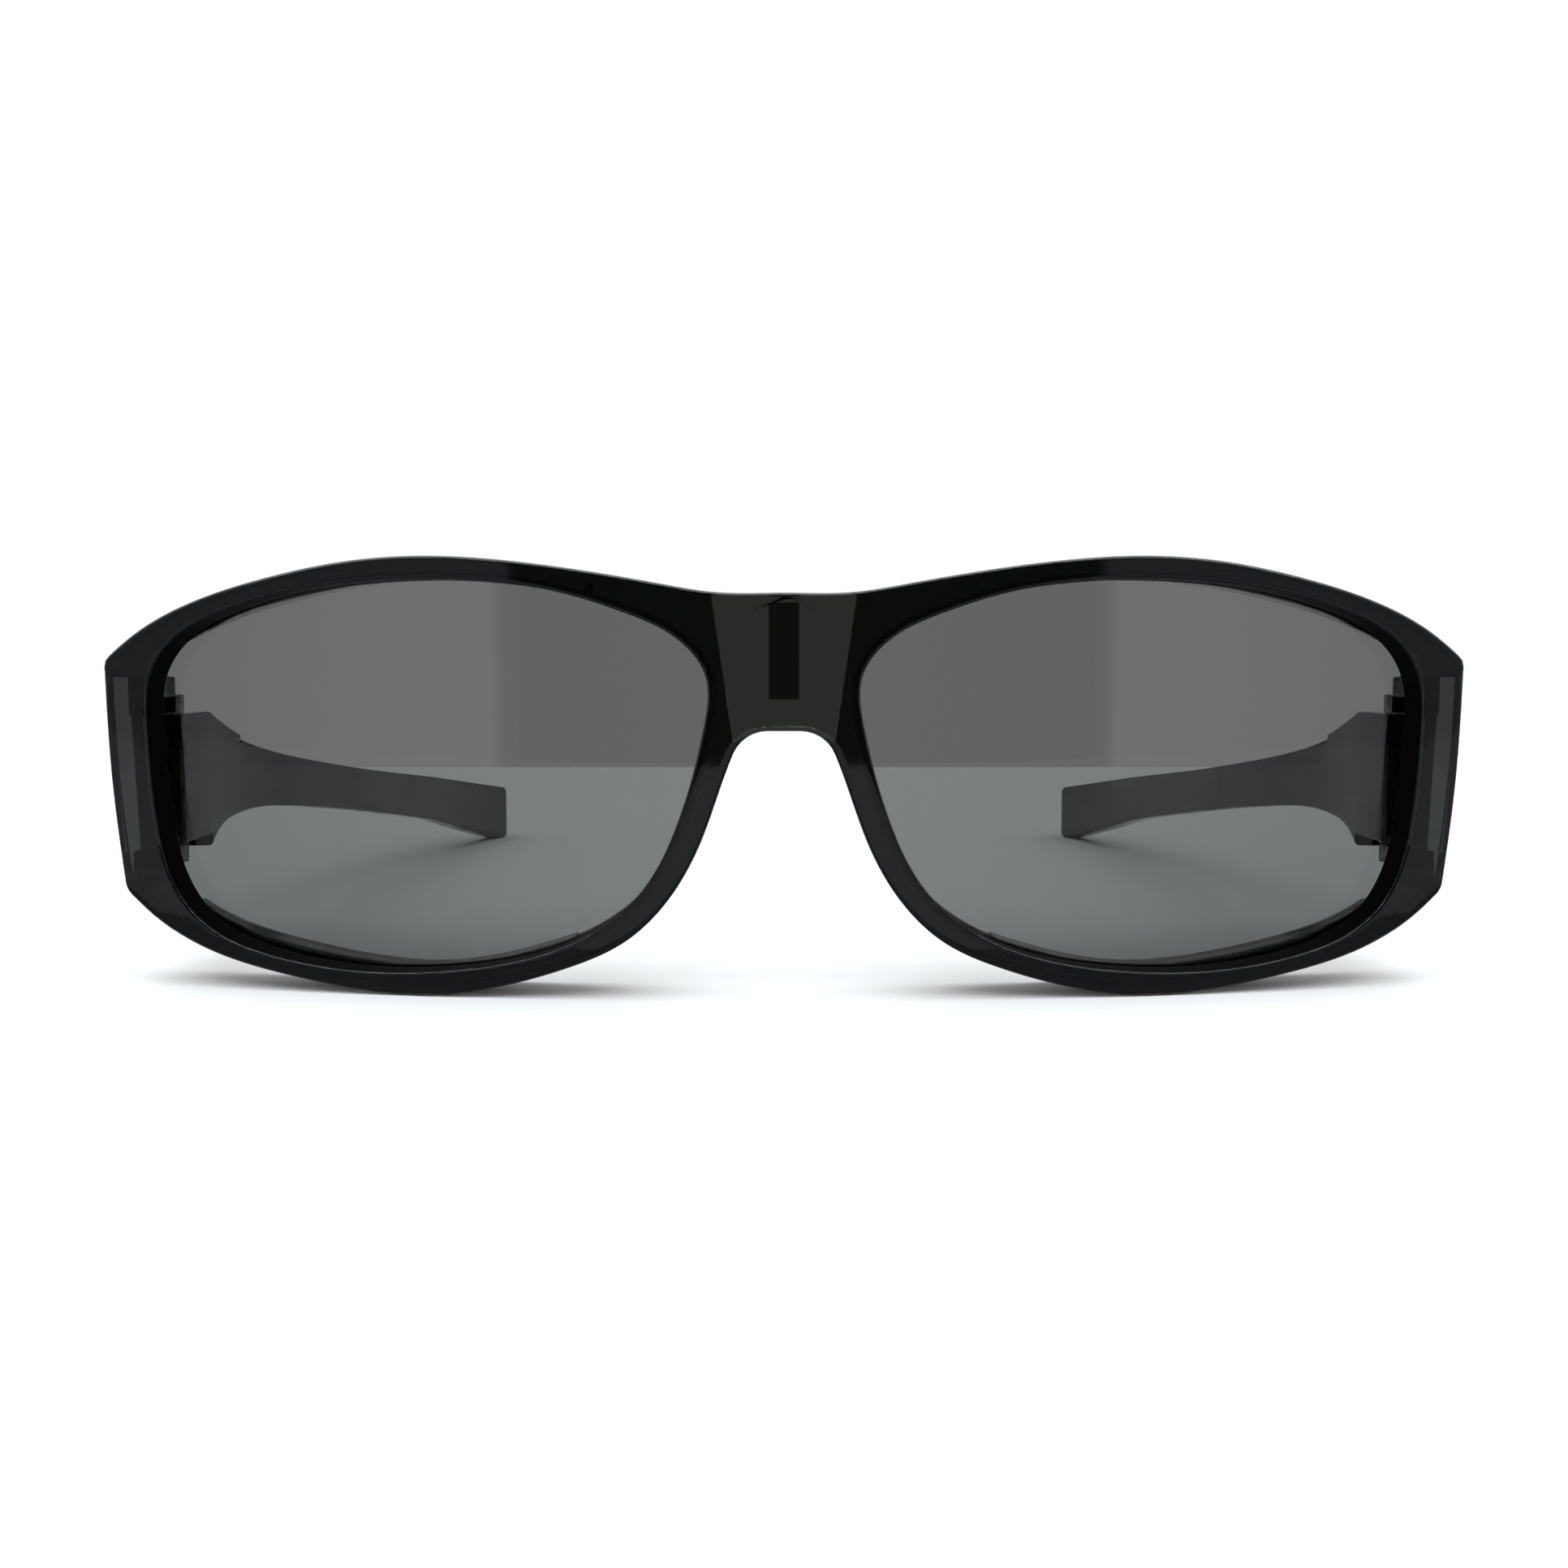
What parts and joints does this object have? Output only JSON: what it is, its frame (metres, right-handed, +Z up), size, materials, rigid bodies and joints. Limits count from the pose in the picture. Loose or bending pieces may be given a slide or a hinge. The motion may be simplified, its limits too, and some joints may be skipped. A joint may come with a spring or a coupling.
{
  "type": "fitover sunglasses",
  "caption": "Wrap-round sunglasses worn over prescription glasses: curved moulded front with tinted lenses, wide folding temples on screw hinges.",
  "frame": {"origin": "on the table, under the middle of the whole part's box with both temples open", "axes": "+X runs along the front to the viewer's right, +Y runs back from the front to the temple tips, +Z is up"},
  "size_m": [0.1494, 0.1494, 0.0468],
  "materials": {
    "frame_plastic": "polished translucent smoke grey",
    "temple_plastic": "polished translucent smoke grey",
    "lens": "polished grey tint",
    "screw_steel": "turned steel"
  },
  "bodies": {
    "front": {"front_frame": "frame_plastic", "lens_left": "lens", "lens_right": "lens", "hinge_screw_left": "screw_steel", "hinge_screw_right": "screw_steel"},
    "temple_left": {"temple_left": "temple_plastic"},
    "temple_right": {"temple_right": "temple_plastic"}
  },
  "joints": [
    {"name": "temple_left_fold", "type": "hinge", "parent": "front", "child": "temple_left", "pos_m": [-0.0716, -0.05428, 0.022], "axis": [0, 0, -1], "range_deg": [0, 77]},
    {"name": "temple_right_fold", "type": "hinge", "parent": "front", "child": "temple_right", "pos_m": [0.0716, -0.05428, 0.022], "axis": [0, 0, 1], "range_deg": [0, 84]}
  ]
}
